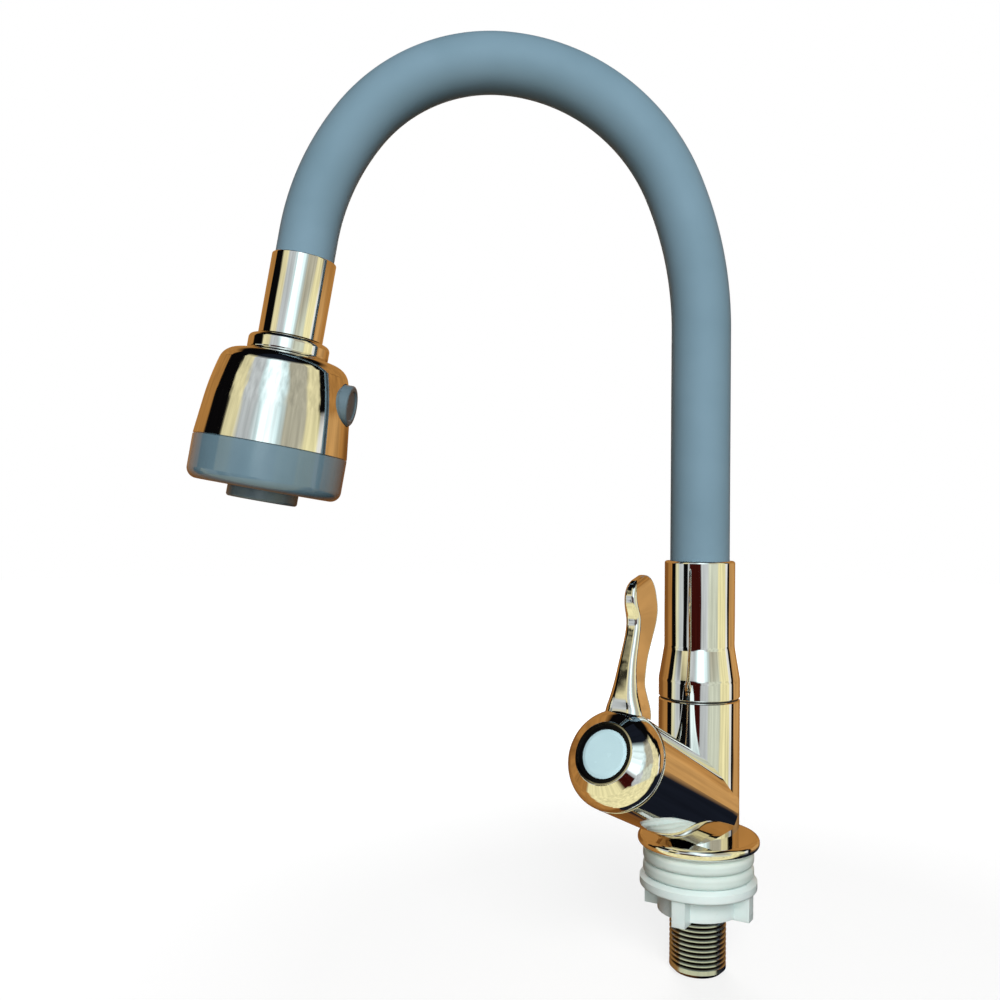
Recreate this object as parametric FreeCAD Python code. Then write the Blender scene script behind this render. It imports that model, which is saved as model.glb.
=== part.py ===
import FreeCAD, Part
import os
from math import cos, pi, radians, sin, tan

# Flexible spout faucet, in millimetres.
# Origin: on the column's axis, at the underside of the base flange, where the deck is.
# +Z is up, the spout reaches towards -X, and the handle stands towards -X and -Y.

V = FreeCAD.Vector

# Clearances
STATIC_GAP = 0.05
RUNNING_GAP = 0.06
FREE_GAP = 0.3

# Threaded tail, G 1/2
THREAD_R = 10.4775
THREAD_PITCH = 1.8143
THREAD_DEPTH = 1.162
CREST_FLAT = 0.4
TAIL_LENGTH = 47.0
TAIL_PLAIN = 3.2
TAIL_CHAMFER = 1.6
TAIL_BORE_R = 7.2
SHANK_SOCKET = 9.0

# Deck hardware
FLANGE_R = 22.5
FLANGE_T = 3.9
FLANGE_ROUND = 1.7
WASHER_R = 20.5
WASHER_ROUND = 1.9
WASHER_LIP_R = 19.6
WASHER_LIP_T = 1.2
UPPER_WASHER_T = 6.2
LOWER_WASHER_T = 4.9
NUT_FLANGE_R = 21.7
NUT_FLANGE_T = 4.5
NUT_FLANGE_ROUND = 0.9
NUT_BEVEL = 2.0
NUT_BEVEL_T = 1.2
NUT_BODY_R = 15.0
NUT_HEIGHT = 13.4
WING_COUNT = 4
WING_R = 20.4
WING_T = 5.0
WING_DROP = 14.0
WING_TURN = -31.0

# Valve body
BODY_R = 15.0
BODY_H = 50.9
BODY_CHAMFER = 0.4
WELL_H = 4.0
SWIVEL_BORE_DEPTH = 26.8
BRANCH_AZIMUTH = 37.5
BRANCH_ELEVATION = 25.0
BRANCH_Z = 14.0
BRANCH_L = 64.4
BRANCH_ROOT_R = 16.0
BRANCH_MOUTH_R = 16.9
CHAMBER_FLOOR = 23.0
INLET_DRILL_R = 3.0
OUTLET_DRILL_R = 4.0

# Cartridge, measured along the branch
CARTRIDGE_R = 11.0
CARTRIDGE_WAIST_R = 10.0
CARTRIDGE_WAIST_START = 2.5
CARTRIDGE_FLANGE_R = 13.0
CARTRIDGE_FLANGE_T = 3.5
CARTRIDGE_FLANGE_SINK = 6.0
CARTRIDGE_NECK_R = 7.0
CARTRIDGE_NECK_L = 4.0
WINDOW_R = 1.5
SEAL_T = 2.0
SEAL_R = 9.5
SEAL_BORE_R = 6.0
DISC_R = 8.5
DISC_T = 3.0
DISC_PORT_R = 2.0
DISC_PORT_OFFSET = 4.8
DRIVE_PEG_R = 1.1
DRIVE_PEG_L = 1.5
SPINDLE_R = 4.9
SPINDLE_FOOT_R = 8.0
SPINDLE_FOOT_T = 3.4
SPINDLE_TIP_R = 4.0
SPINDLE_TIP_L = 5.0
SPINDLE_TIP_FLATS = 6.4
SPINDLE_ORING_SECTION = 0.6
CLIP_T = 0.9
CLIP_DEPTH = 0.8
CLIP_RISE = 1.5

# Handle, along and above the branch axis
HUB_R = 17.2
HUB_REAR_R = 16.6
HUB_REAR_GAP = 0.4
HUB_BELLY = 2.9
HUB_BOSS_R = 7.4
HUB_L = 10.4
HUB_FACE_R = 10.4
HUB_SHOULDER_R = 15.1
HUB_SHOULDER = 3.2
HUB_BELLY_ROUND = 6.0
HUB_DOME = 8.0
HUB_EDGE = 0.5
HUB_CAVITY_R = 12.8
HUB_CAVITY_L = 4.0
CAP_R = 8.15
CAP_T = 1.6
CAP_SUNK = 0.5
CAP_RING_R = 9.7
CAP_DOME = 0.35
CAP_EDGE = 0.3
CAP_BEVEL = 1.2
CAP_ROUND = 1.0
SCREW_R = 2.0
SCREW_L = 6.0
SCREW_HEAD_R = 3.8
SCREW_HEAD_T = 2.4
SCREW_SOCKET = 2.5
LEVER_CORNER = 0.62
# Lever stations: distance from the hub's rear, height above its axis, half depth, half thickness
LEVER = (
    (3.0, 5.0, 3.0, 6.0),
    (2.8, 12.1, 3.6, 7.2),
    (0.6, 17.6, 6.8, 6.4),
    (3.3, 23.1, 5.4, 4.8),
    (4.5, 28.5, 5.1, 3.7),
    (5.1, 36.0, 5.3, 3.0),
    (5.3, 43.8, 6.1, 2.7),
    (6.4, 49.2, 7.3, 2.7),
    (9.1, 53.3, 7.8, 2.5),
    (11.8, 56.6, 7.2, 2.2),
    (13.6, 58.5, 5.4, 1.8),
    (14.5, 59.5, 2.9, 1.0),
)

# Swivel
STEM_R = 9.5
STEM_BORE_R = 6.0
STEM_FOOT_GAP = 3.0
STEM_ORING_SECTION = 0.94
STEM_ORING_RISES = (5.0, 10.5)
SNAP_RING_RISE = 17.0
SNAP_RING_T = 2.0
SNAP_RING_R = 10.6
SNAP_RING_BORE_R = 8.4
SNAP_RING_SLOT = 3.0
SWIVEL_WASHER_T = 0.6
SWIVEL_WASHER_R = 14.3
SLEEVE_FOOT_H = 6.8
SLEEVE_FLARE_H = 12.0
SLEEVE_R = 13.0
SLEEVE_H = 50.8
SLEEVE_LIP = 0.85
SLEEVE_CHAMFER = 0.4
FLARE_ROUND = 9.0
HOSE_SOCKET_DEPTH = 26.2

# Hose, from the axis outwards
NIPPLE_R = 4.3
NIPPLE_BORE_R = 3.0
NIPPLE_L = 18.0
WATER_TUBE_BORE_R = 4.5
WATER_TUBE_R = 6.2
GOOSENECK_BORE_R = 6.5
GOOSENECK_R = 8.3
HOSE_BORE_R = 8.5
HOSE_R = 11.0
COLLAR_L = 6.0
COLLAR_WEB = 1.0

# Hose centreline: a straight leg above the sleeve, tangent bends and a straight end
LEG_RUN = 86.5
BEND_RADII = (138.0, 75.8, 63.3, 91.6)
BEND_ANGLES = (23.0, 61.7, 56.6, 28.9)
END_RUN = 9.0

# Spray head, measured down its axis from the ferrule's top
FERRULE_R = 12.0
FERRULE_L = 30.2
FERRULE_LIP = 0.85
FERRULE_SOCKET_DEPTH = 24.0
CONNECTOR_R = 8.15
SPIGOT_R = 6.5
SPIGOT_BORE_R = 4.2
SPIGOT_L = 17.8
SPIGOT_ORING_DROP = 7.5
SPIGOT_ORING_SECTION = 0.72
SPIGOT_CLIP_GAP = 0.25
NECK_GAP = 0.7
NECK_COLLAR_R = 15.1
NECK_COLLAR_H = 6.7
NECK_COLLAR_ROUND = 1.9
CORE_NECK_R = 10.0
CORE_NECK_INSET = 0.4
CORE_SHOULDER_R = 16.6
CORE_SHOULDER_T = 3.4
CORE_DRUM_R = 17.0
CORE_WEB_L = 15.8
CORE_CHANNEL_R = 9.0
CORE_FLANGE_R = 25.9
CORE_FLANGE_T = 4.5
CORE_FLANGE_RISE = 5.4
CORE_SKIRT_T = 1.7
OUTLET_R = 11.0
OUTLET_L = 9.5
SPRAY_CHANNEL_R = 15.5
SPRAY_CHANNEL_BORE_R = 12.0
SPRAY_CHANNEL_L = 13.5
SPRAY_DRILL_R = 1.2
SHELL_L = 33.8
SHELL_WALL = 1.6
SHELL_TOP_T = 2.0
SHELL_SHOULDER_R = 22.7
SHELL_SHOULDER_ROUND = 6.5
SHELL_BELLY_R = 26.2
SHELL_BELLY_DROP = 12.4
SHELL_BELLY_ROUND = 100.0
SHELL_RIM_R = 28.6
RING_L = 16.6
RING_WALL = 2.4
RING_ROUND = 4.0
RING_STEP = 0.8
RING_STEP_T = 0.4
RING_LIP_T = 2.4
RING_LIP_BORE_R = 22.2
PLATE_T = 2.4
PLATE_HOLE_R = 0.7
INNER_CIRCLE_R = 16.4
INNER_HOLE_COUNT = 18
OUTER_CIRCLE_R = 19.8
OUTER_HOLE_COUNT = 24
GASKET_T = 1.0
AERATOR_R = 13.2
AERATOR_L = 16.8
AERATOR_DROP = 4.2
AERATOR_LIP_T = 1.0
AERATOR_LIP_BORE_R = 10.2
AERATOR_ROUND = 1.0
MESH_T = 1.2
MESH_HOLE_R = 0.55
MESH_PITCH = 1.9
AERATOR_WASHER_T = 1.5
INSERT_PORT_R = 1.2
INSERT_PORT_CIRCLE = 6.5
INSERT_PORTS = 12

# Mode button on the head's side
BUTTON_DROP = 51.5
BUTTON_TURN = 6.0
BUTTON_R = 7.6
BUTTON_PROUD = 1.8
BUTTON_FLANGE_R = 8.3
BUTTON_FLANGE_T = 1.0
BUTTON_DEPTH = 7.0
BUTTON_DISH_R = 5.7
BUTTON_DISH = 0.5
BUTTON_ROUND = 0.8
BUTTON_POCKET_R = 6.3
BUTTON_POCKET = 4.0
DIVERTER_R = 3.0
DIVERTER_REACH = 11.6
DIVERTER_ORING_REACH = 15.2
DIVERTER_ORING_SECTION = 0.4
GUIDE_R = 4.2
GUIDE_L = 2.2
SPRING_R = 4.9
SPRING_WIRE_R = 0.4
SPRING_TURNS = 5

# Heights and stations that follow from the sizes above
BODY_TOP = FLANGE_T + BODY_H
SWIVEL_BORE_FLOOR = BODY_TOP - SWIVEL_BORE_DEPTH
SLEEVE_FOOT = BODY_TOP + SWIVEL_WASHER_T
SLEEVE_TOP = SLEEVE_FOOT + SLEEVE_H
LEG_TOP = SLEEVE_TOP + LEG_RUN
HOSE_SOCKET_FLOOR = SLEEVE_TOP - HOSE_SOCKET_DEPTH
SOCKET_R = HOSE_R + 3 * STATIC_GAP
STEM_FOOT = SWIVEL_BORE_FLOOR + STEM_FOOT_GAP
SWIVEL_BORE_R = STEM_R + RUNNING_GAP
CHAMBER_R = CARTRIDGE_R + 2 * STATIC_GAP
CARTRIDGE_FOOT = CHAMBER_FLOOR + SEAL_T
MOVING_DISC_FOOT = CARTRIDGE_FOOT + DISC_T
SPINDLE_FOOT = MOVING_DISC_FOOT + DISC_T
DISC_ROOM_R = DISC_R + FREE_GAP
DISC_ROOM_TOP = SPINDLE_FOOT + SPINDLE_FOOT_T + FREE_GAP
CARTRIDGE_FLANGE_TOP = BRANCH_L - CARTRIDGE_FLANGE_SINK
CARTRIDGE_TOP = CARTRIDGE_FLANGE_TOP + CARTRIDGE_NECK_L
HUB_REAR = BRANCH_L + HUB_REAR_GAP
HUB_FACE = HUB_REAR + HUB_L
CAP_TOP = HUB_FACE - CAP_SUNK
CAP_SEAT = CAP_TOP - CAP_T
SPINDLE_TIP_FOOT = CARTRIDGE_TOP + CLIP_T + 2 * FREE_GAP
SPINDLE_TIP_TOP = SPINDLE_TIP_FOOT + SPINDLE_TIP_L
SCREW_HEAD_SEAT = CAP_SEAT - SCREW_HEAD_T - FREE_GAP
HEAD_TILT = 180.0 - sum(BEND_ANGLES)
CONNECTOR_TOP = FERRULE_SOCKET_DEPTH
NECK_COLLAR_TOP = FERRULE_L + NECK_GAP
SHELL_TOP = NECK_COLLAR_TOP + NECK_COLLAR_H
SHELL_RIM = SHELL_TOP + SHELL_L
CORE_SHOULDER = SHELL_TOP + SHELL_TOP_T
CORE_TOP = NECK_COLLAR_TOP + CORE_NECK_INSET
CORE_WEB_FOOT = CORE_TOP + CORE_WEB_L
CORE_FLANGE_TOP = SHELL_RIM - CORE_FLANGE_RISE
CORE_FLANGE_FOOT = CORE_FLANGE_TOP + CORE_FLANGE_T
OUTLET_FOOT = CORE_FLANGE_FOOT + OUTLET_L
RING_FOOT = SHELL_RIM + RING_L
PLATE_FOOT = RING_FOOT - RING_LIP_T
PLATE_TOP = PLATE_FOOT - PLATE_T
GASKET_TOP = PLATE_TOP - GASKET_T
RING_BORE_R = SHELL_RIM_R - RING_WALL
AERATOR_FOOT = RING_FOOT + AERATOR_DROP
AERATOR_TOP = AERATOR_FOOT - AERATOR_L
AERATOR_BORE_R = OUTLET_R + 2 * STATIC_GAP
MESH_FOOT = AERATOR_FOOT - AERATOR_LIP_T
MESH_TOP = MESH_FOOT - MESH_T
BUTTON_FACE = SHELL_BELLY_R + BUTTON_PROUD
BUTTON_BACK = BUTTON_FACE - BUTTON_DEPTH
BUTTON_POCKET_FLOOR = BUTTON_BACK + BUTTON_POCKET


def outline(corners):
    """Closed wire in the XZ plane through (x, z) corners; a third value rounds a corner."""
    points = [V(corner[0], 0, corner[1]) for corner in corners]
    count = len(points)
    stops = []
    for index in range(count):
        here = points[index]
        radius = corners[index][2] if len(corners[index]) > 2 else 0
        if radius == 0:
            stops.append((here, None, here))
            continue
        back = (points[index - 1] - here).normalize()
        ahead = (points[(index + 1) % count] - here).normalize()
        half = back.getAngle(ahead) / 2
        reach = radius / tan(half)
        middle = here + (back + ahead).normalize() * (radius / sin(half) - radius)
        stops.append((here + back * reach, middle, here + ahead * reach))
    edges = []
    for index in range(count):
        entry, middle, leave = stops[index]
        following = stops[(index + 1) % count][0]
        if middle is not None:
            edges.append(Part.Arc(entry, middle, leave).toShape())
        if leave.distanceToPoint(following) > 1e-6:
            edges.append(Part.makeLine(leave, following))
    return Part.Wire(edges)


def turned(corners):
    """Solid turned about Z from (radius, height[, corner round]) corners."""
    return Part.Face(outline(corners)).revolve(V(0, 0, 0), V(0, 0, 1), 360)


def ring(outer, bore, low, high, rounding=0):
    """Ring about Z, with its outer edges rounded."""
    return turned([(bore, low), (outer, low, rounding), (outer, high, rounding), (bore, high)])


def rod(radius, low, high):
    """Cylinder about Z between two heights."""
    return Part.makeCylinder(radius, high - low, V(0, 0, low))


def cross_rod(radius, start, end):
    """Cylinder between two points."""
    return Part.makeCylinder(radius, (end - start).Length, start, end - start)


def split(shape, slot, reach, low, high):
    """Opens a ring on its +X side."""
    return shape.cut(Part.makeBox(reach, slot, high - low, V(0, -slot / 2, low)))


def oring(bore, section, height):
    """Round-section seal on a groove of the given radius."""
    return Part.makeTorus(bore + section, section, V(0, 0, height), V(0, 0, 1))


def branch_frame():
    """Z runs out along the branch, Y rises from it, X lies level."""
    azimuth = radians(BRANCH_AZIMUTH)
    elevation = radians(BRANCH_ELEVATION)
    out = V(-sin(azimuth) * cos(elevation), -cos(azimuth) * cos(elevation), sin(elevation))
    level = V(cos(azimuth), -sin(azimuth), 0)
    turn = FreeCAD.Rotation(level, out.cross(level), out, "ZXY")
    return FreeCAD.Placement(V(0, 0, BRANCH_Z), turn)


def bend_points():
    """Corner points of the hose's bends, as (start, middle, end), and the end heading."""
    place = V(0, 0, LEG_TOP)
    heading = 90.0
    bends = []
    for radius, turn in zip(BEND_RADII, BEND_ANGLES):
        toward = radians(heading + 90)
        centre = place + V(cos(toward), 0, sin(toward)) * radius
        stops = []
        for share in (0.5, 1.0):
            angle = radians(heading - 90 + share * turn)
            stops.append(centre + V(cos(angle), 0, sin(angle)) * radius)
        bends.append((place, stops[0], stops[1]))
        place = stops[1]
        heading += turn
    return bends, V(cos(radians(heading)), 0, sin(radians(heading)))


def head_frame():
    """Z runs down the head's axis from the ferrule's top, X towards the column, Y to the front."""
    bends, down = bend_points()
    tilt = radians(HEAD_TILT)
    side = V(cos(tilt), 0, -sin(tilt))
    turn = FreeCAD.Rotation(side, down.cross(side), down, "ZXY")
    return FreeCAD.Placement(bends[-1][2] + down * END_RUN, turn)


BRANCH = branch_frame()
HEAD = head_frame()
BUTTON = FreeCAD.Placement(
    V(0, 0, BUTTON_DROP),
    FreeCAD.Rotation(V(0, 0, 1), BUTTON_TURN) * FreeCAD.Rotation(V(0, 1, 0), 90),
)


def placed(shape, frame):
    """Copy of a shape moved from a local frame into the faucet's frame."""
    copy = shape.copy()
    copy.Placement = frame.multiply(copy.Placement)
    return copy


def on_branch(shape):
    return placed(shape, BRANCH)


def on_head(shape):
    return placed(shape, HEAD)


def on_button(shape):
    """Z of the local frame runs out of the head through the button's centre."""
    return placed(shape, HEAD.multiply(BUTTON))


# Deck hardware


def inlet_shank():
    top = FLANGE_T + SHANK_SOCKET
    corners = [
        (TAIL_BORE_R, -TAIL_LENGTH),
        (THREAD_R - TAIL_CHAMFER, -TAIL_LENGTH),
        (THREAD_R, TAIL_CHAMFER - TAIL_LENGTH),
    ]
    first = TAIL_PLAIN - TAIL_LENGTH
    for groove in range(int(-first / THREAD_PITCH)):
        low = first + groove * THREAD_PITCH
        width = THREAD_PITCH - CREST_FLAT
        corners.append((THREAD_R, low))
        corners.append((THREAD_R - THREAD_DEPTH, low + width / 2))
        corners.append((THREAD_R, low + width))
    corners.append((THREAD_R, top))
    corners.append((TAIL_BORE_R, top))
    return turned(corners)


def base_flange():
    bore = THREAD_R + 2 * STATIC_GAP
    return ring(FLANGE_R, bore, 0, FLANGE_T, FLANGE_ROUND)


def upper_washer():
    bore = THREAD_R + FREE_GAP
    return turned([
        (bore, -UPPER_WASHER_T),
        (WASHER_R, -UPPER_WASHER_T, WASHER_ROUND),
        (WASHER_R, -WASHER_LIP_T, WASHER_ROUND),
        (WASHER_LIP_R, -WASHER_LIP_T),
        (WASHER_LIP_R, 0),
        (bore, 0),
    ])


def lower_washer():
    top = -UPPER_WASHER_T
    return ring(WASHER_R, THREAD_R + FREE_GAP, top - LOWER_WASHER_T, top, WASHER_ROUND)


def mounting_nut():
    top = -UPPER_WASHER_T - LOWER_WASHER_T
    bore = THREAD_R + RUNNING_GAP
    step = top - NUT_FLANGE_T
    nut = turned([
        (bore, top),
        (NUT_FLANGE_R - NUT_BEVEL, top),
        (NUT_FLANGE_R, top - NUT_BEVEL_T),
        (NUT_FLANGE_R, step, NUT_FLANGE_ROUND),
        (NUT_BODY_R, step),
        (NUT_BODY_R, top - NUT_HEIGHT),
        (bore, top - NUT_HEIGHT),
    ])
    inner = (bore + NUT_BODY_R) / 2
    foot = top - WING_DROP
    wing = Part.Face(outline([
        (inner, step),
        (WING_R, step),
        (WING_R, foot),
        (inner, foot),
    ])).extrude(V(0, WING_T, 0))
    wing.translate(V(0, -WING_T / 2, 0))
    for number in range(WING_COUNT):
        turn = WING_TURN - 90 + number * 360 / WING_COUNT
        blade = wing.copy()
        blade.rotate(V(0, 0, 0), V(0, 0, 1), turn)
        nut = nut.fuse(blade)
    return nut.removeSplitter()


# Valve body and cartridge


def valve_body():
    column = turned([
        (0, FLANGE_T),
        (BODY_R, FLANGE_T),
        (BODY_R, BODY_TOP - BODY_CHAMFER),
        (BODY_R - BODY_CHAMFER, BODY_TOP),
        (0, BODY_TOP),
    ])
    branch = on_branch(Part.makeCone(BRANCH_ROOT_R, BRANCH_MOUTH_R, BRANCH_L))
    below = Part.makeBox(4 * BODY_R, 4 * BODY_R, BODY_R, V(-2 * BODY_R, -2 * BODY_R, FLANGE_T - BODY_R))
    casting = column.fuse(branch).cut(below)
    socket_top = FLANGE_T + SHANK_SOCKET
    well = rod(TAIL_BORE_R, socket_top, socket_top + WELL_H)
    chamber_side = BRANCH.multVec(V(0, INLET_DRILL_R / 2 - CHAMBER_R, CHAMBER_FLOOR + SEAL_T))
    chamber_heart = BRANCH.multVec(V(0, 0, CHAMBER_FLOOR + SEAL_T / 2))
    groove_low = STEM_FOOT + SNAP_RING_RISE - 2 * STATIC_GAP
    groove_high = groove_low + SNAP_RING_T + 4 * STATIC_GAP
    counterbore = CARTRIDGE_FLANGE_TOP - CARTRIDGE_FLANGE_T
    cuts = [
        rod(THREAD_R + 2 * STATIC_GAP, FLANGE_T, socket_top),
        well,
        rod(SWIVEL_BORE_R, SWIVEL_BORE_FLOOR, BODY_TOP),
        rod(SNAP_RING_R + FREE_GAP, groove_low, groove_high),
        on_branch(rod(CHAMBER_R, CHAMBER_FLOOR, BRANCH_L)),
        on_branch(rod(CARTRIDGE_FLANGE_R + 2 * STATIC_GAP, counterbore, BRANCH_L)),
        cross_rod(INLET_DRILL_R, V(0, 0, socket_top + WELL_H / 2), chamber_side),
        cross_rod(OUTLET_DRILL_R, V(0, 0, SWIVEL_BORE_FLOOR), chamber_heart),
    ]
    for tool in cuts:
        casting = casting.cut(tool)
    return casting


def cartridge_body():
    waist_low = CARTRIDGE_FOOT + CARTRIDGE_WAIST_START
    flange_foot = CARTRIDGE_FLANGE_TOP - CARTRIDGE_FLANGE_T
    body = turned([
        (DISC_ROOM_R, CARTRIDGE_FOOT),
        (CARTRIDGE_R, CARTRIDGE_FOOT),
        (CARTRIDGE_R, waist_low),
        (CARTRIDGE_WAIST_R, waist_low),
        (CARTRIDGE_WAIST_R, DISC_ROOM_TOP),
        (CARTRIDGE_R, DISC_ROOM_TOP),
        (CARTRIDGE_R, flange_foot),
        (CARTRIDGE_FLANGE_R, flange_foot),
        (CARTRIDGE_FLANGE_R, CARTRIDGE_FLANGE_TOP),
        (CARTRIDGE_NECK_R, CARTRIDGE_FLANGE_TOP),
        (CARTRIDGE_NECK_R, CARTRIDGE_TOP),
        (SPINDLE_R + RUNNING_GAP, CARTRIDGE_TOP),
        (SPINDLE_R + RUNNING_GAP, DISC_ROOM_TOP),
        (DISC_ROOM_R, DISC_ROOM_TOP),
    ])
    height = SPINDLE_FOOT - WINDOW_R
    reach = V(0, CARTRIDGE_R, 0)
    window = cross_rod(WINDOW_R, V(0, 0, height) - reach, V(0, 0, height) + reach)
    return on_branch(body.cut(window))


def cartridge_seal():
    return on_branch(ring(SEAL_R, SEAL_BORE_R, CHAMBER_FLOOR, CARTRIDGE_FOOT))


def fixed_disc():
    disc = rod(DISC_R, CARTRIDGE_FOOT, MOVING_DISC_FOOT)
    for side in (-1, 1):
        port = rod(DISC_PORT_R, CARTRIDGE_FOOT, MOVING_DISC_FOOT)
        disc = disc.cut(port.translated(V(0, side * DISC_PORT_OFFSET, 0)))
    return on_branch(disc)


def moving_disc():
    disc = rod(DISC_R, MOVING_DISC_FOOT, SPINDLE_FOOT)
    for side in (-1, 1):
        notch = rod(DISC_PORT_R, MOVING_DISC_FOOT, SPINDLE_FOOT)
        peg_hole = rod(DRIVE_PEG_R + STATIC_GAP, SPINDLE_FOOT - DRIVE_PEG_L - STATIC_GAP, SPINDLE_FOOT)
        slot = Part.makeBox(DISC_R, 2 * DISC_PORT_R, DISC_T, V(0, -DISC_PORT_R, MOVING_DISC_FOOT))
        slot.translate(V(DISC_PORT_OFFSET, 0, 0))
        notch = notch.translated(V(DISC_PORT_OFFSET, 0, 0)).fuse(slot)
        if side < 0:
            notch.rotate(V(0, 0, 0), V(0, 0, 1), 180)
        disc = disc.cut(notch)
        disc = disc.cut(peg_hole.translated(V(0, side * DISC_PORT_OFFSET, 0)))
    return on_branch(disc)


def flatted(radius, flats, low, high):
    """Round bar with two flats across Y."""
    slab = Part.makeBox(2 * radius, flats, high - low, V(-radius, -flats / 2, low))
    return rod(radius, low, high).common(slab)


def groove_corners(radius, section, middle):
    """Corners of an O-ring groove in a shaft, going up."""
    depth = 2 * section
    half = section + 2 * STATIC_GAP
    return [
        (radius, middle - half),
        (radius - depth, middle - half),
        (radius - depth, middle + half),
        (radius, middle + half),
    ]


def spindle_seal_height():
    return (DISC_ROOM_TOP + CARTRIDGE_FLANGE_TOP) / 2


def clip_corners(radius, low):
    """Corners of a retaining clip's groove in a shaft, going up."""
    return [
        (radius, low),
        (radius - CLIP_DEPTH, low),
        (radius - CLIP_DEPTH, low + CLIP_T),
        (radius, low + CLIP_T),
    ]


def retaining_clip(radius, low):
    """Split ring that stands in a shaft's groove."""
    bore = radius - CLIP_DEPTH + STATIC_GAP
    clip = ring(radius + CLIP_RISE, bore, low, low + CLIP_T)
    return split(clip, radius, radius + 2 * CLIP_RISE, low, low + CLIP_T)


def spindle():
    corners = [
        (0, SPINDLE_FOOT),
        (SPINDLE_FOOT_R, SPINDLE_FOOT),
        (SPINDLE_FOOT_R, SPINDLE_FOOT + SPINDLE_FOOT_T),
        (SPINDLE_R, SPINDLE_FOOT + SPINDLE_FOOT_T),
    ]
    corners += groove_corners(SPINDLE_R, SPINDLE_ORING_SECTION, spindle_seal_height())
    corners += clip_corners(SPINDLE_R, CARTRIDGE_TOP)
    corners += [(SPINDLE_R, SPINDLE_TIP_FOOT), (0, SPINDLE_TIP_FOOT)]
    bar = turned(corners)
    bar = bar.fuse(flatted(SPINDLE_TIP_R, SPINDLE_TIP_FLATS, SPINDLE_TIP_FOOT, SPINDLE_TIP_TOP))
    for side in (-1, 1):
        peg = rod(DRIVE_PEG_R, SPINDLE_FOOT - DRIVE_PEG_L, SPINDLE_FOOT)
        bar = bar.fuse(peg.translated(V(0, side * DISC_PORT_OFFSET, 0)))
    screw_hole = rod(SCREW_R + STATIC_GAP, SCREW_HEAD_SEAT - SCREW_L - FREE_GAP, SPINDLE_TIP_TOP)
    return on_branch(bar.cut(screw_hole))


def spindle_oring():
    bore = SPINDLE_R - 2 * SPINDLE_ORING_SECTION
    return on_branch(oring(bore, SPINDLE_ORING_SECTION, spindle_seal_height()))


def spindle_clip():
    return on_branch(retaining_clip(SPINDLE_R, CARTRIDGE_TOP))


# Handle


def lever_section(index):
    """Rounded rectangle across the lever at one station."""
    station, height, depth, thick = LEVER[index]
    before = LEVER[max(index - 1, 0)]
    after = LEVER[min(index + 1, len(LEVER) - 1)]
    along = V(0, after[1] - before[1], after[0] - before[0]).normalize()
    across = V(0, -along.z, along.y)
    level = V(1, 0, 0)
    centre = V(0, height, HUB_REAR + station)
    corner = LEVER_CORNER * thick
    lean = corner * (1 - cos(pi / 4))
    edges = []
    stops = []
    for u, v in ((1, 1), (-1, 1), (-1, -1), (1, -1)):
        side = centre + level * (u * thick) + across * (v * (depth - corner))
        end = centre + level * (u * (thick - corner)) + across * (v * depth)
        middle = centre + level * (u * (thick - lean)) + across * (v * (depth - lean))
        pair = (side, middle, end) if u * v > 0 else (end, middle, side)
        stops.append(pair)
    for place in range(4):
        edges.append(Part.Arc(*stops[place]).toShape())
        edges.append(Part.makeLine(stops[place][2], stops[(place + 1) % 4][0]))
    return Part.Wire(edges)


def handle():
    hub = turned([
        (0, HUB_REAR),
        (HUB_REAR_R, HUB_REAR, HUB_EDGE),
        (HUB_R, HUB_REAR + HUB_BELLY, HUB_BELLY_ROUND),
        (HUB_SHOULDER_R, HUB_FACE - HUB_SHOULDER, HUB_DOME),
        (HUB_FACE_R, HUB_FACE, HUB_EDGE),
        (0, HUB_FACE),
    ])
    lever = Part.makeLoft([lever_section(index) for index in range(len(LEVER))], True, False)
    lever = lever.cut(rod(HUB_R, 0, HUB_REAR))
    grip = hub.fuse(lever)
    cuts = [
        ring(HUB_CAVITY_R, HUB_BOSS_R, HUB_REAR, HUB_REAR + HUB_CAVITY_L),
        flatted(
            SPINDLE_TIP_R + STATIC_GAP,
            SPINDLE_TIP_FLATS + 2 * STATIC_GAP,
            HUB_REAR,
            SPINDLE_TIP_TOP + FREE_GAP,
        ),
        rod(SCREW_R + STATIC_GAP, SPINDLE_TIP_TOP, SCREW_HEAD_SEAT),
        rod(SCREW_HEAD_R + FREE_GAP, SCREW_HEAD_SEAT, CAP_SEAT),
        rod(CAP_RING_R + STATIC_GAP, CAP_SEAT, HUB_FACE + CAP_T),
    ]
    for tool in cuts:
        grip = grip.cut(tool)
    return on_branch(grip)


def handle_screw():
    head_top = SCREW_HEAD_SEAT + SCREW_HEAD_T
    screw = rod(SCREW_R, SCREW_HEAD_SEAT - SCREW_L, SCREW_HEAD_SEAT)
    screw = screw.fuse(rod(SCREW_HEAD_R, SCREW_HEAD_SEAT, head_top))
    corners = [V(cos(k * pi / 3), sin(k * pi / 3), 0) * (SCREW_SOCKET / 3 ** 0.5) for k in range(7)]
    recess = Part.Face(Part.makePolygon(corners)).extrude(V(0, 0, SCREW_HEAD_T))
    recess.translate(V(0, 0, head_top - SCREW_HEAD_T / 2))
    return on_branch(screw.cut(recess))


def index_cap():
    cap = turned([
        (0, CAP_SEAT),
        (CAP_R, CAP_SEAT),
        (CAP_R, CAP_TOP - CAP_DOME, CAP_EDGE),
        (CAP_R - CAP_BEVEL, CAP_TOP, CAP_ROUND),
        (0, CAP_TOP),
    ])
    return on_branch(cap)


def cap_ring():
    return on_branch(ring(CAP_RING_R, CAP_R + STATIC_GAP, CAP_SEAT, CAP_TOP, CAP_EDGE))


# Swivel


def stem_seal_height(number):
    return STEM_FOOT + STEM_ORING_RISES[number]


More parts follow.
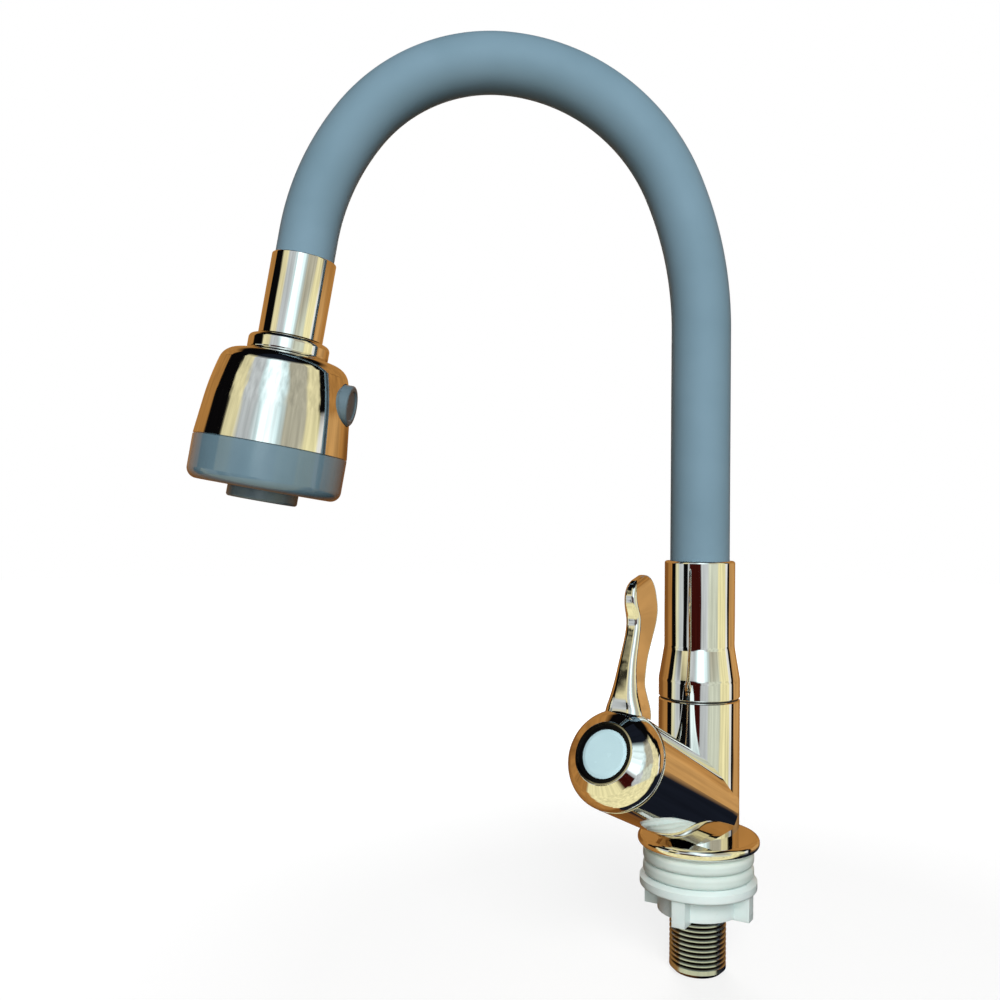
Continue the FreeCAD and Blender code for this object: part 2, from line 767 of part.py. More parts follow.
def swivel_stem():
    ring_low = STEM_FOOT + SNAP_RING_RISE
    groove_r = SNAP_RING_BORE_R - 2 * STATIC_GAP
    corners = [(STEM_BORE_R, STEM_FOOT), (STEM_R, STEM_FOOT)]
    for number in range(len(STEM_ORING_RISES)):
        corners += groove_corners(STEM_R, STEM_ORING_SECTION, stem_seal_height(number))
    corners += [
        (STEM_R, ring_low),
        (groove_r, ring_low),
        (groove_r, ring_low + SNAP_RING_T),
        (STEM_R, ring_low + SNAP_RING_T),
        (STEM_R, HOSE_SOCKET_FLOOR),
        (NIPPLE_R, HOSE_SOCKET_FLOOR),
        (NIPPLE_R, HOSE_SOCKET_FLOOR + NIPPLE_L),
        (NIPPLE_BORE_R, HOSE_SOCKET_FLOOR + NIPPLE_L),
        (NIPPLE_BORE_R, HOSE_SOCKET_FLOOR - NIPPLE_R),
        (STEM_BORE_R, HOSE_SOCKET_FLOOR - NIPPLE_R),
    ]
    return turned(corners)


def stem_oring(number):
    return oring(STEM_R - 2 * STEM_ORING_SECTION, STEM_ORING_SECTION, stem_seal_height(number))


def snap_ring():
    low = STEM_FOOT + SNAP_RING_RISE
    whole = ring(SNAP_RING_R, SNAP_RING_BORE_R, low, low + SNAP_RING_T)
    return split(whole, SNAP_RING_SLOT, 2 * SNAP_RING_R, low, low + SNAP_RING_T)


def swivel_washer():
    return ring(SWIVEL_WASHER_R, STEM_R + STATIC_GAP, BODY_TOP, SLEEVE_FOOT)


def swivel_sleeve():
    bore = STEM_R + STATIC_GAP
    flare_low = SLEEVE_FOOT + SLEEVE_FOOT_H
    return turned([
        (bore, SLEEVE_FOOT),
        (BODY_R - SLEEVE_CHAMFER, SLEEVE_FOOT),
        (BODY_R, SLEEVE_FOOT + SLEEVE_CHAMFER),
        (BODY_R, flare_low, FLARE_ROUND),
        (SLEEVE_R, flare_low + SLEEVE_FLARE_H, FLARE_ROUND),
        (SLEEVE_R, SLEEVE_TOP, SLEEVE_LIP),
        (SOCKET_R, SLEEVE_TOP, SLEEVE_LIP),
        (SOCKET_R, HOSE_SOCKET_FLOOR),
        (bore, HOSE_SOCKET_FLOOR),
    ])


# Hose


def hose_route(low, reach):
    """Centreline from a height on the leg to a depth inside the ferrule."""
    bends, down = bend_points()
    edges = [Part.makeLine(V(0, 0, low), bends[0][0])]
    for bend in bends:
        edges.append(Part.Arc(*bend).toShape())
    last = bends[-1][2]
    edges.append(Part.makeLine(last, last + down * (END_RUN + reach)))
    return Part.Wire(edges)


def hose_layer(outer, bore, low, reach):
    """Tube along the hose's centreline."""
    route = hose_route(low, reach)
    solids = []
    for radius in (outer, bore):
        circle = Part.Wire(Part.makeCircle(radius, V(0, 0, low), V(0, 0, 1)))
        solids.append(Part.Wire(route).makePipeShell([circle], True, False))
    tube = solids[0].cut(solids[1])
    expected = pi * (outer ** 2 - bore ** 2) * route.Length
    print("hose layer r", outer, "length", round(route.Length, 2), "volume ratio", tube.Volume / expected)
    return tube


def hose_sleeve():
    return hose_layer(HOSE_R, HOSE_BORE_R, HOSE_SOCKET_FLOOR + COLLAR_L, FERRULE_SOCKET_DEPTH - COLLAR_L)


def gooseneck_tube():
    low = HOSE_SOCKET_FLOOR + COLLAR_WEB
    return hose_layer(GOOSENECK_R, GOOSENECK_BORE_R, low, FERRULE_SOCKET_DEPTH - COLLAR_WEB)


def water_tube():
    return hose_layer(WATER_TUBE_R, WATER_TUBE_BORE_R, HOSE_SOCKET_FLOOR, FERRULE_SOCKET_DEPTH)


def crimp_collar():
    """Collar that closes one end of the hose, standing on the socket's floor at zero height."""
    web_bore = WATER_TUBE_R + 2 * STATIC_GAP
    return turned([
        (web_bore, 0),
        (HOSE_R, 0),
        (HOSE_R, COLLAR_L),
        (HOSE_BORE_R, COLLAR_L),
        (HOSE_BORE_R, COLLAR_WEB),
        (web_bore, COLLAR_WEB),
    ])


def base_collar():
    return crimp_collar().translated(V(0, 0, HOSE_SOCKET_FLOOR))


def head_collar():
    collar = crimp_collar()
    collar.rotate(V(0, 0, 0), V(1, 0, 0), 180)
    collar.translate(V(0, 0, FERRULE_SOCKET_DEPTH))
    return on_head(collar)


# Spray head


def head_ferrule():
    bore = CONNECTOR_R + STATIC_GAP
    return on_head(turned([
        (SOCKET_R, 0, FERRULE_LIP / 2),
        (FERRULE_R, 0, FERRULE_LIP / 2),
        (FERRULE_R, FERRULE_L),
        (bore, FERRULE_L),
        (bore, FERRULE_SOCKET_DEPTH),
        (SOCKET_R, FERRULE_SOCKET_DEPTH),
    ]))


def spigot_clip_top():
    return CORE_WEB_FOOT + SPIGOT_CLIP_GAP


def head_connector():
    corners = [
        (NIPPLE_BORE_R, CONNECTOR_TOP - NIPPLE_L),
        (NIPPLE_R, CONNECTOR_TOP - NIPPLE_L),
        (NIPPLE_R, CONNECTOR_TOP),
        (CONNECTOR_R, CONNECTOR_TOP),
        (CONNECTOR_R, FERRULE_L),
        (SPIGOT_R, FERRULE_L),
    ]
    corners += groove_corners(SPIGOT_R, SPIGOT_ORING_SECTION, FERRULE_L + SPIGOT_ORING_DROP)
    corners += clip_corners(SPIGOT_R, spigot_clip_top())
    corners += [
        (SPIGOT_R, FERRULE_L + SPIGOT_L),
        (SPIGOT_BORE_R, FERRULE_L + SPIGOT_L),
        (SPIGOT_BORE_R, FERRULE_L),
        (NIPPLE_BORE_R, FERRULE_L),
    ]
    return on_head(turned(corners))


def spigot_oring():
    bore = SPIGOT_R - 2 * SPIGOT_ORING_SECTION
    return on_head(oring(bore, SPIGOT_ORING_SECTION, FERRULE_L + SPIGOT_ORING_DROP))


def spigot_clip():
    return on_head(retaining_clip(SPIGOT_R, spigot_clip_top()))


def neck_collar():
    bore = CORE_NECK_R + 2 * STATIC_GAP
    return on_head(ring(NECK_COLLAR_R, bore, NECK_COLLAR_TOP, SHELL_TOP, NECK_COLLAR_ROUND))


def head_shell():
    hole = CORE_NECK_R + 2 * STATIC_GAP
    belly = SHELL_TOP + SHELL_BELLY_DROP
    shell = turned([
        (hole, SHELL_TOP),
        (SHELL_SHOULDER_R, SHELL_TOP, SHELL_SHOULDER_ROUND),
        (SHELL_BELLY_R, belly, SHELL_BELLY_ROUND),
        (SHELL_RIM_R, SHELL_RIM),
        (SHELL_RIM_R - SHELL_WALL, SHELL_RIM),
        (SHELL_BELLY_R - SHELL_WALL, belly, SHELL_BELLY_ROUND - SHELL_WALL),
        (SHELL_SHOULDER_R - SHELL_WALL, CORE_SHOULDER, SHELL_SHOULDER_ROUND - SHELL_WALL),
        (hole, CORE_SHOULDER),
    ])
    button_hole = placed(rod(BUTTON_R + FREE_GAP, CORE_DRUM_R, BUTTON_FACE), BUTTON)
    return on_head(shell.cut(button_hole))


def head_core():
    skirt_r = CORE_FLANGE_R - CORE_SKIRT_T
    core = turned([
        (SPIGOT_R + RUNNING_GAP, CORE_TOP),
        (CORE_NECK_R, CORE_TOP),
        (CORE_NECK_R, CORE_SHOULDER),
        (CORE_SHOULDER_R, CORE_SHOULDER),
        (CORE_SHOULDER_R, CORE_SHOULDER + CORE_SHOULDER_T),
        (CORE_DRUM_R, CORE_SHOULDER + CORE_SHOULDER_T),
        (CORE_DRUM_R, CORE_FLANGE_TOP),
        (CORE_FLANGE_R, CORE_FLANGE_TOP),
        (CORE_FLANGE_R, GASKET_TOP),
        (skirt_r, GASKET_TOP),
        (skirt_r, CORE_FLANGE_FOOT),
        (OUTLET_R, CORE_FLANGE_FOOT),
        (OUTLET_R, OUTLET_FOOT),
        (CORE_CHANNEL_R, OUTLET_FOOT),
        (CORE_CHANNEL_R, CORE_WEB_FOOT),
        (SPIGOT_R + RUNNING_GAP, CORE_WEB_FOOT),
    ])
    guide = placed(rod(GUIDE_R, SPRAY_CHANNEL_R, CORE_DRUM_R + GUIDE_L), BUTTON)
    diverter_bore = placed(rod(DIVERTER_R + RUNNING_GAP, 0, CORE_DRUM_R + GUIDE_L), BUTTON)
    channel_low = CORE_FLANGE_FOOT - SPRAY_CHANNEL_L
    channel = ring(SPRAY_CHANNEL_R, SPRAY_CHANNEL_BORE_R, channel_low, CORE_FLANGE_FOOT)
    middle = (SPRAY_CHANNEL_R + SPRAY_CHANNEL_BORE_R) / 2
    drill = rod(SPRAY_DRILL_R, BUTTON_DROP, channel_low).translated(V(middle, 0, 0))
    drill.rotate(V(0, 0, 0), V(0, 0, 1), BUTTON_TURN)
    core = core.fuse(guide)
    for tool in (diverter_bore, channel, drill):
        core = core.cut(tool)
    return on_head(core)


def mode_button():
    flange_front = BUTTON_BACK + BUTTON_FLANGE_T
    button = turned([
        (0, BUTTON_POCKET_FLOOR),
        (BUTTON_POCKET_R, BUTTON_POCKET_FLOOR),
        (BUTTON_POCKET_R, BUTTON_BACK),
        (BUTTON_FLANGE_R, BUTTON_BACK),
        (BUTTON_FLANGE_R, flange_front),
        (BUTTON_R, flange_front),
        (BUTTON_R, BUTTON_FACE, BUTTON_ROUND),
        (BUTTON_DISH_R, BUTTON_FACE, BUTTON_DISH / 2),
        (BUTTON_DISH_R - BUTTON_DISH, BUTTON_FACE - BUTTON_DISH),
        (0, BUTTON_FACE - BUTTON_DISH),
    ])
    return on_button(button)


def diverter():
    corners = [(0, DIVERTER_REACH), (DIVERTER_R, DIVERTER_REACH)]
    corners += groove_corners(DIVERTER_R, DIVERTER_ORING_SECTION, DIVERTER_ORING_REACH)
    corners += [(DIVERTER_R, BUTTON_POCKET_FLOOR), (0, BUTTON_POCKET_FLOOR)]
    return on_button(turned(corners))


def diverter_oring():
    bore = DIVERTER_R - 2 * DIVERTER_ORING_SECTION
    return on_button(oring(bore, DIVERTER_ORING_SECTION, DIVERTER_ORING_REACH))


def button_spring():
    low = CORE_DRUM_R + SPRING_WIRE_R + STATIC_GAP
    height = BUTTON_POCKET_FLOOR - SPRING_WIRE_R - STATIC_GAP - low
    helix = Part.makeHelix(height / SPRING_TURNS, height, SPRING_R)
    wire = Part.Wire(Part.makeCircle(SPRING_WIRE_R, V(SPRING_R, 0, 0), V(0, 1, 0)))
    coil = Part.Wire(helix).makePipeShell([wire], True, True)
    coil.translate(V(0, 0, low))
    return on_button(coil)


def face_ring():
    return on_head(turned([
        (RING_BORE_R, SHELL_RIM),
        (SHELL_RIM_R - RING_STEP, SHELL_RIM),
        (SHELL_RIM_R - RING_STEP, SHELL_RIM + RING_STEP_T),
        (SHELL_RIM_R, SHELL_RIM + RING_STEP_T),
        (SHELL_RIM_R, RING_FOOT, RING_ROUND),
        (RING_LIP_BORE_R, RING_FOOT),
        (RING_LIP_BORE_R, PLATE_FOOT),
        (RING_BORE_R, PLATE_FOOT),
    ]))


def spray_plate():
    plate = ring(RING_BORE_R - STATIC_GAP, AERATOR_R + 2 * STATIC_GAP, PLATE_TOP, PLATE_FOOT)
    holes = []
    for radius, count in ((INNER_CIRCLE_R, INNER_HOLE_COUNT), (OUTER_CIRCLE_R, OUTER_HOLE_COUNT)):
        for number in range(count):
            angle = 2 * pi * number / count
            hole = rod(PLATE_HOLE_R, PLATE_TOP, PLATE_FOOT)
            holes.append(hole.translated(V(radius * cos(angle), radius * sin(angle), 0)))
    return on_head(plate.cut(Part.makeCompound(holes)))


def plate_gasket():
    bore = CORE_FLANGE_R - CORE_SKIRT_T
    return on_head(ring(RING_BORE_R - STATIC_GAP, bore, GASKET_TOP, PLATE_TOP))


def aerator_housing():
    return on_head(turned([
        (AERATOR_BORE_R, AERATOR_TOP),
        (AERATOR_R, AERATOR_TOP),
        (AERATOR_R, AERATOR_FOOT, AERATOR_ROUND),
        (AERATOR_LIP_BORE_R, AERATOR_FOOT),
        (AERATOR_LIP_BORE_R, MESH_FOOT),
        (AERATOR_BORE_R, MESH_FOOT),
    ]))


def aerator_washer():
    return on_head(ring(OUTLET_R, CORE_CHANNEL_R, OUTLET_FOOT, OUTLET_FOOT + AERATOR_WASHER_T))


def aerator_insert():
    top = OUTLET_FOOT + AERATOR_WASHER_T
    insert = rod(OUTLET_R, top, MESH_TOP)
    ports = []
    for number in range(INSERT_PORTS):
        angle = 2 * pi * number / INSERT_PORTS
        port = rod(INSERT_PORT_R, top, MESH_TOP)
        ports.append(port.translated(V(cos(angle), sin(angle), 0) * INSERT_PORT_CIRCLE))
    return on_head(insert.cut(Part.makeCompound(ports)))


def aerator_mesh():
    disc = rod(OUTLET_R, MESH_TOP, MESH_FOOT)
    reach = int(AERATOR_LIP_BORE_R / MESH_PITCH)
    limit = AERATOR_LIP_BORE_R - MESH_HOLE_R
    holes = []
    for column in range(-reach, reach + 1):
        for row in range(-reach, reach + 1):
            place = V(column, row, 0) * MESH_PITCH
            if place.Length < limit:
                holes.append(rod(MESH_HOLE_R, MESH_TOP, MESH_FOOT).translated(place))
    return on_head(disc.cut(Part.makeCompound(holes)))


PIECES = {
    "inlet_shank": inlet_shank,
    "base_flange": base_flange,
    "upper_washer": upper_washer,
    "lower_washer": lower_washer,
    "mounting_nut": mounting_nut,
    "valve_body": valve_body,
    "cartridge_body": cartridge_body,
    "cartridge_seal": cartridge_seal,
    "fixed_disc": fixed_disc,
    "moving_disc": moving_disc,
    "spindle": spindle,
    "spindle_oring": spindle_oring,
    "spindle_clip": spindle_clip,
    "handle": handle,
    "handle_screw": handle_screw,
    "index_cap": index_cap,
    "cap_ring": cap_ring,
    "swivel_stem": swivel_stem,
    "lower_stem_oring": lambda: stem_oring(0),
    "upper_stem_oring": lambda: stem_oring(1),
    "snap_ring": snap_ring,
    "swivel_washer": swivel_washer,
    "swivel_sleeve": swivel_sleeve,
    "hose_sleeve": hose_sleeve,
    "gooseneck_tube": gooseneck_tube,
    "water_tube": water_tube,
    "base_collar": base_collar,
    "head_collar": head_collar,
    "head_ferrule": head_ferrule,
    "head_connector": head_connector,
    "spigot_oring": spigot_oring,
    "spigot_clip": spigot_clip,
    "neck_collar": neck_collar,
    "head_shell": head_shell,
    "head_core": head_core,
    "mode_button": mode_button,
    "diverter": diverter,
    "diverter_oring": diverter_oring,
    "button_spring": button_spring,
    "face_ring": face_ring,
    "spray_plate": spray_plate,
    "plate_gasket": plate_gasket,
    "aerator_housing": aerator_housing,
    "aerator_washer": aerator_washer,
    "aerator_insert": aerator_insert,
    "aerator_mesh": aerator_mesh,
}

os.makedirs("parts", exist_ok=True)
for name, make in PIECES.items():
    piece = make()
    print(name, "solids", len(piece.Solids), "valid", piece.isValid(), "volume", round(piece.Volume, 2))
    piece.exportStep("parts/" + name + ".step")
print("head origin", HEAD.Base, "tilt", HEAD_TILT)
print("branch axis", BRANCH.Rotation.multVec(V(0, 0, 1)))
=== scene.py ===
import math

import bpy
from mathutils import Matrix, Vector


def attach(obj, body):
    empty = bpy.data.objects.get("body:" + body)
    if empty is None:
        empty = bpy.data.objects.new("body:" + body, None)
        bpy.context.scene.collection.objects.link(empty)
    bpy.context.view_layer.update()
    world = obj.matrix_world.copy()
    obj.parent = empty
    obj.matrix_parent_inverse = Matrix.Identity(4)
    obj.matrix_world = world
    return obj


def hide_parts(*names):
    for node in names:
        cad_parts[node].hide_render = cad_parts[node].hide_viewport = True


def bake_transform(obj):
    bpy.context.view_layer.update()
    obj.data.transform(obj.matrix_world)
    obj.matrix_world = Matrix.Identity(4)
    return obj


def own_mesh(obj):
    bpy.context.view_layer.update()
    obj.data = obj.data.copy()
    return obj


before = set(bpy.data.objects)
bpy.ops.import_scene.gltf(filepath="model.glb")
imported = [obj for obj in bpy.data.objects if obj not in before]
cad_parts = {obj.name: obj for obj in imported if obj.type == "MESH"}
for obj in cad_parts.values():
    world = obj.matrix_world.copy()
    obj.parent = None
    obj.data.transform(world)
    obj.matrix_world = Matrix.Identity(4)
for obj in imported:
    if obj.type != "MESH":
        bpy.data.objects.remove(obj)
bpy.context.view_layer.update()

# Spout line, metres: the leg stands on the column's axis, and the arch leans over towards -X.
LEG_TOP = 0.1927
BEND_RADII = (0.1380, 0.0758, 0.0633, 0.0916)
BEND_ANGLES = (23.0, 61.7, 56.6, 28.9)
END_RUN = 0.009
LINE_STEP = 0.0016

# Tubes on that line: lowest point of the leg, depth in the ferrule, outer and inner radius.
HOSE = (0.0860, 0.018, 0.01098, 0.0085)
GOOSENECK = (0.0810, 0.023, 0.0083, 0.0065)
WATER_TUBE = (0.0800, 0.024, 0.0062, 0.0045)
HOSE_SIDES = 96
GOOSENECK_SIDES = 64
WATER_TUBE_SIDES = 48
WIND_PITCH = 0.0034
WIND_DEPTH = 0.00028

# Thread of the tail
# Root and crest radius of the thread; between them its colour goes from painted shade in the roots to the
# metal's own colour at the crests
THREAD_ROOT_R = 0.0093
THREAD_CREST_R = 0.01047

# Camera
CAMERA_PLACE = (-0.0752, -0.376, 0.1184)
CAMERA_ROLL = math.radians(-0.35)
CAMERA_SHIFT_Y = 0.027
CAMERA_LENS = 36.0
CAMERA_SENSOR = 36.0
CAMERA_CLIP = 0.01

# Floor: grey under the lamps, with a glow of its own that fades up to white away from the object.
FLOOR_Z = -0.0471
FLOOR_R = 3.0
FLOOR_SIDES = 96
FLOOR_GREY = 0.28
FLOOR_GLOW = 0.745
FLOOR_FADE = (0.15, 0.5)
FLOOR_ROUGHNESS = 0.9

# Light: the world's soft light from above and below, and lamps as place, target, size, power, colour.
LIGHT_ABOVE = (0.098, 0.104, 0.108, 1.0)
LIGHT_BELOW = (0.078, 0.066, 0.053, 1.0)
LIGHT_SPAN = 0.5
MIDDLE = (-0.07, 0.0, 0.15)
LOW_MIDDLE = (-0.05, 0.0, 0.02)
LAMPS = {
    "key": ((0.06, -1.08, 0.66), MIDDLE, 0.7, 13.0, (1.0, 0.99, 0.98)),
    "fill": ((-0.1, -1.0, 0.06), LOW_MIDDLE, 0.4, 2.6, (0.97, 0.99, 1.0)),
    "back": ((-0.07, 1.2, 0.55), MIDDLE, 0.9, 11.0, (1.0, 0.99, 0.98)),
    "top": ((0.0, 0.25, 1.4), MIDDLE, 0.9, 0.5, (0.97, 0.99, 1.0)),
}

# Room that only mirrors see: walls coloured by direction in four tiers, with the heights where tiers meet.
ROOM_R = 1.3
ROOM_ROWS = 32
ROOM_COLUMNS = 96
ROOM_CENTRE = (-0.07, 0.0, 0.12)
ROOM_UNDER = (-0.50, -0.40)
ROOM_SILL = (0.11, 0.19)
ROOM_CEILING = (0.90, 1.05)
ROOM_SILL_DIP = 0.11
ROOM_SWAY = 0.009
ROOM_SWAY_SCALE = 4.5
ROOM_SHADES = (0.74, 1.2)
ROOM_SHADE_SCALE = 7.0

# Range of a noise texture that holds most of its values
NOISE_SPAN = (0.3, 0.7)


def srgb(r, g, b):
    def channel(v):
        v = v / 255.0
        return v / 12.92 if v <= 0.04045 else ((v + 0.055) / 1.055) ** 2.4
    return (channel(r), channel(g), channel(b), 1.0)


def link_object(name, data):
    thing = bpy.data.objects.new(name, data)
    bpy.context.scene.collection.objects.link(thing)
    return thing


# Shader nodes


def new_material(name):
    material = bpy.data.materials.new(name)
    material.use_nodes = True
    nodes = material.node_tree.nodes
    return material, nodes, material.node_tree.links, nodes["Principled BSDF"]


def noise(nodes, links, coordinates, scale, detail=3.0, roughness=0.5):
    texture = nodes.new("ShaderNodeTexNoise")
    texture.inputs["Scale"].default_value = scale
    texture.inputs["Detail"].default_value = detail
    texture.inputs["Roughness"].default_value = roughness
    links.new(coordinates, texture.inputs["Vector"])
    return texture.outputs["Fac"]


def ramp(nodes, links, factor, low, high, color_low, color_high):
    node = nodes.new("ShaderNodeValToRGB")
    node.color_ramp.elements[0].position = low
    node.color_ramp.elements[0].color = color_low
    node.color_ramp.elements[1].position = high
    node.color_ramp.elements[1].color = color_high
    links.new(factor, node.inputs["Fac"])
    return node.outputs["Color"]


def color_stops(nodes, links, factor, stops):
    """Colours by angle, -180 to 180 degrees."""
    node = nodes.new("ShaderNodeValToRGB")
    elements = node.color_ramp.elements
    while len(elements) < len(stops):
        elements.new(0.5)
    for element, stop in zip(elements, stops):
        element.position = (stop[0] + 180.0) / 360.0
    for element, stop in zip(node.color_ramp.elements, stops):
        element.color = stop[1]
    links.new(factor, node.inputs["Fac"])
    return node.outputs["Color"]


def map_range(nodes, links, value, low, high, to_low=0.0, to_high=1.0):
    node = nodes.new("ShaderNodeMapRange")
    node.inputs["From Min"].default_value = low
    node.inputs["From Max"].default_value = high
    node.inputs["To Min"].default_value = to_low
    node.inputs["To Max"].default_value = to_high
    links.new(value, node.inputs["Value"])
    return node.outputs["Result"]


def spread(nodes, links, texture, low, high):
    return map_range(nodes, links, texture, *NOISE_SPAN, low, high)


def combine(nodes, links, operation, first, second, clamp=False):
    node = nodes.new("ShaderNodeMath")
    node.operation = operation
    node.use_clamp = clamp
    links.new(first, node.inputs[0])
    links.new(second, node.inputs[1])
    return node.outputs[0]


def distance(nodes, links, vector):
    node = nodes.new("ShaderNodeVectorMath")
    node.operation = "LENGTH"
    links.new(vector, node.inputs[0])
    return node.outputs["Value"]


def bump(nodes, links, height, strength, depth, normal=None):
    node = nodes.new("ShaderNodeBump")
    node.inputs["Strength"].default_value = strength
    node.inputs["Distance"].default_value = depth
    links.new(height, node.inputs["Height"])
    if normal is not None:
        links.new(normal, node.inputs["Normal"])
    return node.outputs["Normal"]


# Materials


def finish_material(name, dark, light, rough, metallic=0.0, tone_scale=60.0, grain_scale=900.0,
                    grain_depth=0.00002, grain_strength=0.15, wave_scale=None, wave_depth=0.00004, **sockets):
    material, nodes, links, shader = new_material(name)
    place = nodes.new("ShaderNodeTexCoord").outputs["Object"]
    tone = noise(nodes, links, place, tone_scale)
    links.new(ramp(nodes, links, tone, *NOISE_SPAN, dark, light), shader.inputs["Base Color"])
    wear = noise(nodes, links, place, tone_scale * 3.1, detail=5.0)
    links.new(spread(nodes, links, wear, *rough), shader.inputs["Roughness"])
    grain = noise(nodes, links, place, grain_scale, detail=2.0)
    normal = bump(nodes, links, grain, grain_strength, grain_depth)
    if wave_scale is not None:
        wave = noise(nodes, links, place, wave_scale, detail=1.0)
        normal = bump(nodes, links, wave, 0.3, wave_depth, normal)
    links.new(normal, shader.inputs["Normal"])
    shader.inputs["Metallic"].default_value = metallic
    for socket, value in sockets.items():
        shader.inputs[socket.replace("_", " ")].default_value = value
    return material


def thread_material_with_painted_shade():
    """Plated thread with painted shade: its colour darkens from the crests into the roots, by distance from
    the tail's axis.
    """
    material, nodes, links, shader = new_material("tail_metal")
    place = nodes.new("ShaderNodeTexCoord").outputs["Object"]
    level = nodes.new("ShaderNodeVectorMath")
    level.operation = "MULTIPLY"
    level.inputs[1].default_value = (1.0, 1.0, 0.0)
    links.new(place, level.inputs[0])
    reach = distance(nodes, links, level.outputs["Vector"])
    height = map_range(nodes, links, reach, THREAD_ROOT_R, THREAD_CREST_R)
    # painted shade: dark brown in the thread's roots, the plated metal's own colour at the crests
    links.new(ramp(nodes, links, height, 0.35, 0.9, srgb(62, 52, 42), srgb(188, 198, 214)),
              shader.inputs["Base Color"])
    wear = noise(nodes, links, place, 320.0, detail=5.0)
    links.new(spread(nodes, links, wear, 0.12, 0.26), shader.inputs["Roughness"])
    grain = noise(nodes, links, place, 1800.0, detail=2.0)
    links.new(bump(nodes, links, grain, 0.12, 0.00002), shader.inputs["Normal"])
    shader.inputs["Metallic"].default_value = 1.0
    return material


def make_materials():
    chrome = dict(metallic=1.0, grain_strength=0.02, tone_scale=45.0)
    inner_metal = dict(metallic=1.0, tone_scale=150.0)
    white = dict(Subsurface_Weight=0.35, Subsurface_Radius=(0.004, 0.005, 0.005), Subsurface_Scale=1.0)
    return {
        "chrome_body": finish_material(
            "chrome_body", srgb(226, 225, 222), srgb(236, 235, 232), (0.025, 0.05),
            wave_scale=85.0, wave_depth=0.00003, **chrome),
        "chrome_handle": finish_material(
            "chrome_handle", srgb(226, 225, 222), srgb(236, 235, 232), (0.025, 0.05),
            wave_scale=70.0, wave_depth=0.00003, **chrome),
        "chrome_spout": finish_material(
            "chrome_spout", srgb(226, 225, 222), srgb(236, 235, 232), (0.025, 0.05), **chrome),
        "chrome_shell": finish_material(
            "chrome_shell", srgb(224, 224, 222), srgb(234, 234, 231), (0.03, 0.06),
            wave_scale=55.0, wave_depth=0.00005, **chrome),
        "tail_metal": thread_material_with_painted_shade(),
        "inner_brass": finish_material(
            "inner_brass", srgb(176, 138, 70), srgb(206, 170, 98), (0.2, 0.36), **inner_metal),
        "inner_steel": finish_material(
            "inner_steel", srgb(168, 170, 172), srgb(196, 198, 200), (0.2, 0.34), **inner_metal),
        "seal_rubber": finish_material(
            "seal_rubber", srgb(26, 26, 27), srgb(38, 38, 39), (0.5, 0.68), tone_scale=220.0),
        "washer_white": finish_material(
            "washer_white", srgb(210, 226, 221), srgb(223, 237, 232), (0.42, 0.55), **white),
        "nut_white": finish_material(
            "nut_white", srgb(222, 240, 239), srgb(232, 248, 247), (0.26, 0.4), **white),
        "index_white": finish_material(
            "index_white", srgb(193, 225, 233), srgb(199, 231, 238), (0.2, 0.28), tone_scale=110.0),
        "swivel_plastic": finish_material(
            "swivel_plastic", srgb(214, 212, 204), srgb(228, 226, 219), (0.35, 0.48)),
        "hose_silicone": finish_material(
            "hose_silicone", srgb(113, 142, 158), srgb(121, 150, 167), (0.5, 0.62),
            tone_scale=34.0, grain_scale=1500.0, grain_strength=0.25, Specular_IOR_Level=0.35),
        "head_grey": finish_material(
            "head_grey", srgb(100, 127, 140), srgb(108, 136, 150), (0.12, 0.2),
            tone_scale=50.0, wave_scale=60.0, wave_depth=0.00003,
            Specular_IOR_Level=0.3, Coat_Weight=0.8, Coat_Roughness=0.03),
        "nozzle_grey": finish_material(
            "nozzle_grey", srgb(108, 124, 132), srgb(120, 138, 147), (0.24, 0.34), tone_scale=70.0),
        "button_grey": finish_material(
            "button_grey", srgb(94, 113, 123), srgb(103, 124, 135), (0.18, 0.28),
            tone_scale=90.0, Specular_IOR_Level=0.25),
        # near-black, barely reflecting finish of the cap ring: painted shade for the dark recess around the
        # index disc
        "ring_black": finish_material(
            "ring_black", srgb(6, 6, 7), srgb(12, 12, 13), (0.06, 0.12),
            tone_scale=120.0, Specular_IOR_Level=0.2),
        "core_plastic": finish_material(
            "core_plastic", srgb(62, 64, 66), srgb(76, 78, 80), (0.38, 0.52)),
        "disc_ceramic": finish_material(
            "disc_ceramic", srgb(228, 227, 222), srgb(240, 239, 235), (0.08, 0.16)),
    }


def dress_nodes(materials):
    """Every CAD node takes its slot's material, apart from three given a finish here; the cap ring is a real
    part, and its near-black finish is painted shade for the dark recess around the index disc.
    """
    own = {"cap_ring": "ring_black", "aerator_housing": "nozzle_grey", "mode_button": "button_grey"}
    for name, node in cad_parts.items():
        slot = node.data.materials[0].name.split(".")[0]
        node.material_slots[0].material = materials[own.get(name, slot)]


# Spout


def spout_line(low, depth):
    """Points and directions along the spout: the leg, four tangent bends and the end's short run."""
    points = []

    def run(start, direction, length):
        count = max(2, round(length / LINE_STEP))
        for k in range(count):
            points.append((start + direction * (length * k / count), direction))
        return start + direction * length

    heading = 0.0
    place = run(Vector((0, 0, low)), Vector((0, 0, 1)), LEG_TOP - low)
    for radius, angle in zip(BEND_RADII, BEND_ANGLES):
        turn = math.radians(angle)
        centre = place + Vector((-math.cos(heading), 0, -math.sin(heading))) * radius
        count = max(2, round(radius * turn / LINE_STEP))
        for k in range(count):
            a = heading + turn * k / count
            spoke = Vector((math.cos(a), 0, math.sin(a)))
            points.append((centre + spoke * radius, Vector((-math.sin(a), 0, math.cos(a)))))
        heading += turn
        place = centre + Vector((math.cos(heading), 0, math.sin(heading))) * radius
    last = Vector((-math.sin(heading), 0, math.cos(heading)))
    place = run(place, last, END_RUN + depth)
    points.append((place, last))
    return points


